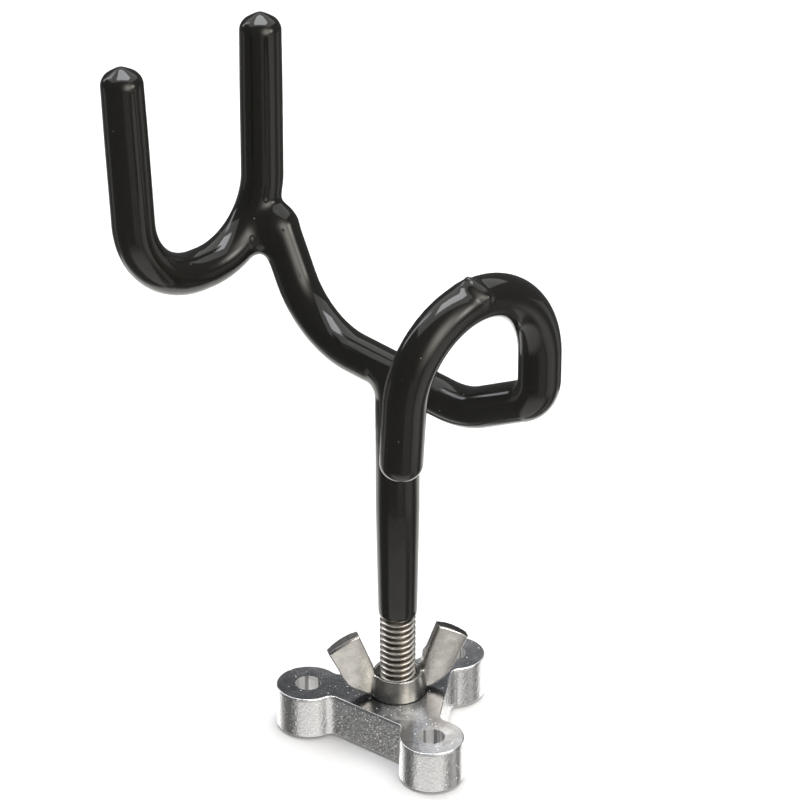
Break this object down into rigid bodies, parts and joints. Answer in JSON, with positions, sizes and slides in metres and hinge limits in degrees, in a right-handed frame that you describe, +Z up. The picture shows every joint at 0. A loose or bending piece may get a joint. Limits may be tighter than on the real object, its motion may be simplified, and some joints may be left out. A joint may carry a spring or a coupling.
{
  "type": "fishing rod holder",
  "caption": "Bent steel rod cradle with a black vinyl coating: a U-shaped fork and a rear arch on a threaded stem, screwed into an eared aluminium base and locked by a wing nut.",
  "frame": {"origin": "centre of the bolt circle, which is the stem's axis, on the base's underside", "axes": "+Z up along the stem; +Y towards the fork, the way the fishing rod points; the fork and the rear arch stand in planes square to Y and open from X = 0 towards -X"},
  "size_m": [0.0691, 0.0909, 0.158],
  "materials": {
    "cast_base": "sawn and tumbled, bright",
    "stud_steel": "rolled thread, dull",
    "rod_steel": "bare, hidden under the coating",
    "weld_metal": "weld bead, hidden under the coating",
    "black_vinyl": "dipped vinyl, high gloss",
    "nut_nickel": "satin nickel plate"
  },
  "bodies": {
    "base": {"base": "cast_base"},
    "holder": {"stem": "stud_steel", "loop_rod": "rod_steel", "fork_rod": "rod_steel", "fork_weld": "weld_metal", "stem_weld": "weld_metal", "vinyl_coating": "black_vinyl"},
    "wing_nut": {"wing_nut": "nut_nickel"}
  },
  "joints": [
    {"name": "holder_turn", "type": "hinge", "parent": "base", "child": "holder", "pos_m": [0, 0, 0.0098], "axis": [0, 0, 1], "range_deg": [-180, 180]},
    {"name": "wing_nut_turn", "type": "hinge", "parent": "holder", "child": "wing_nut", "pos_m": [0, 0, 0.0098], "axis": [0, 0, 1], "continuous": true}
  ]
}
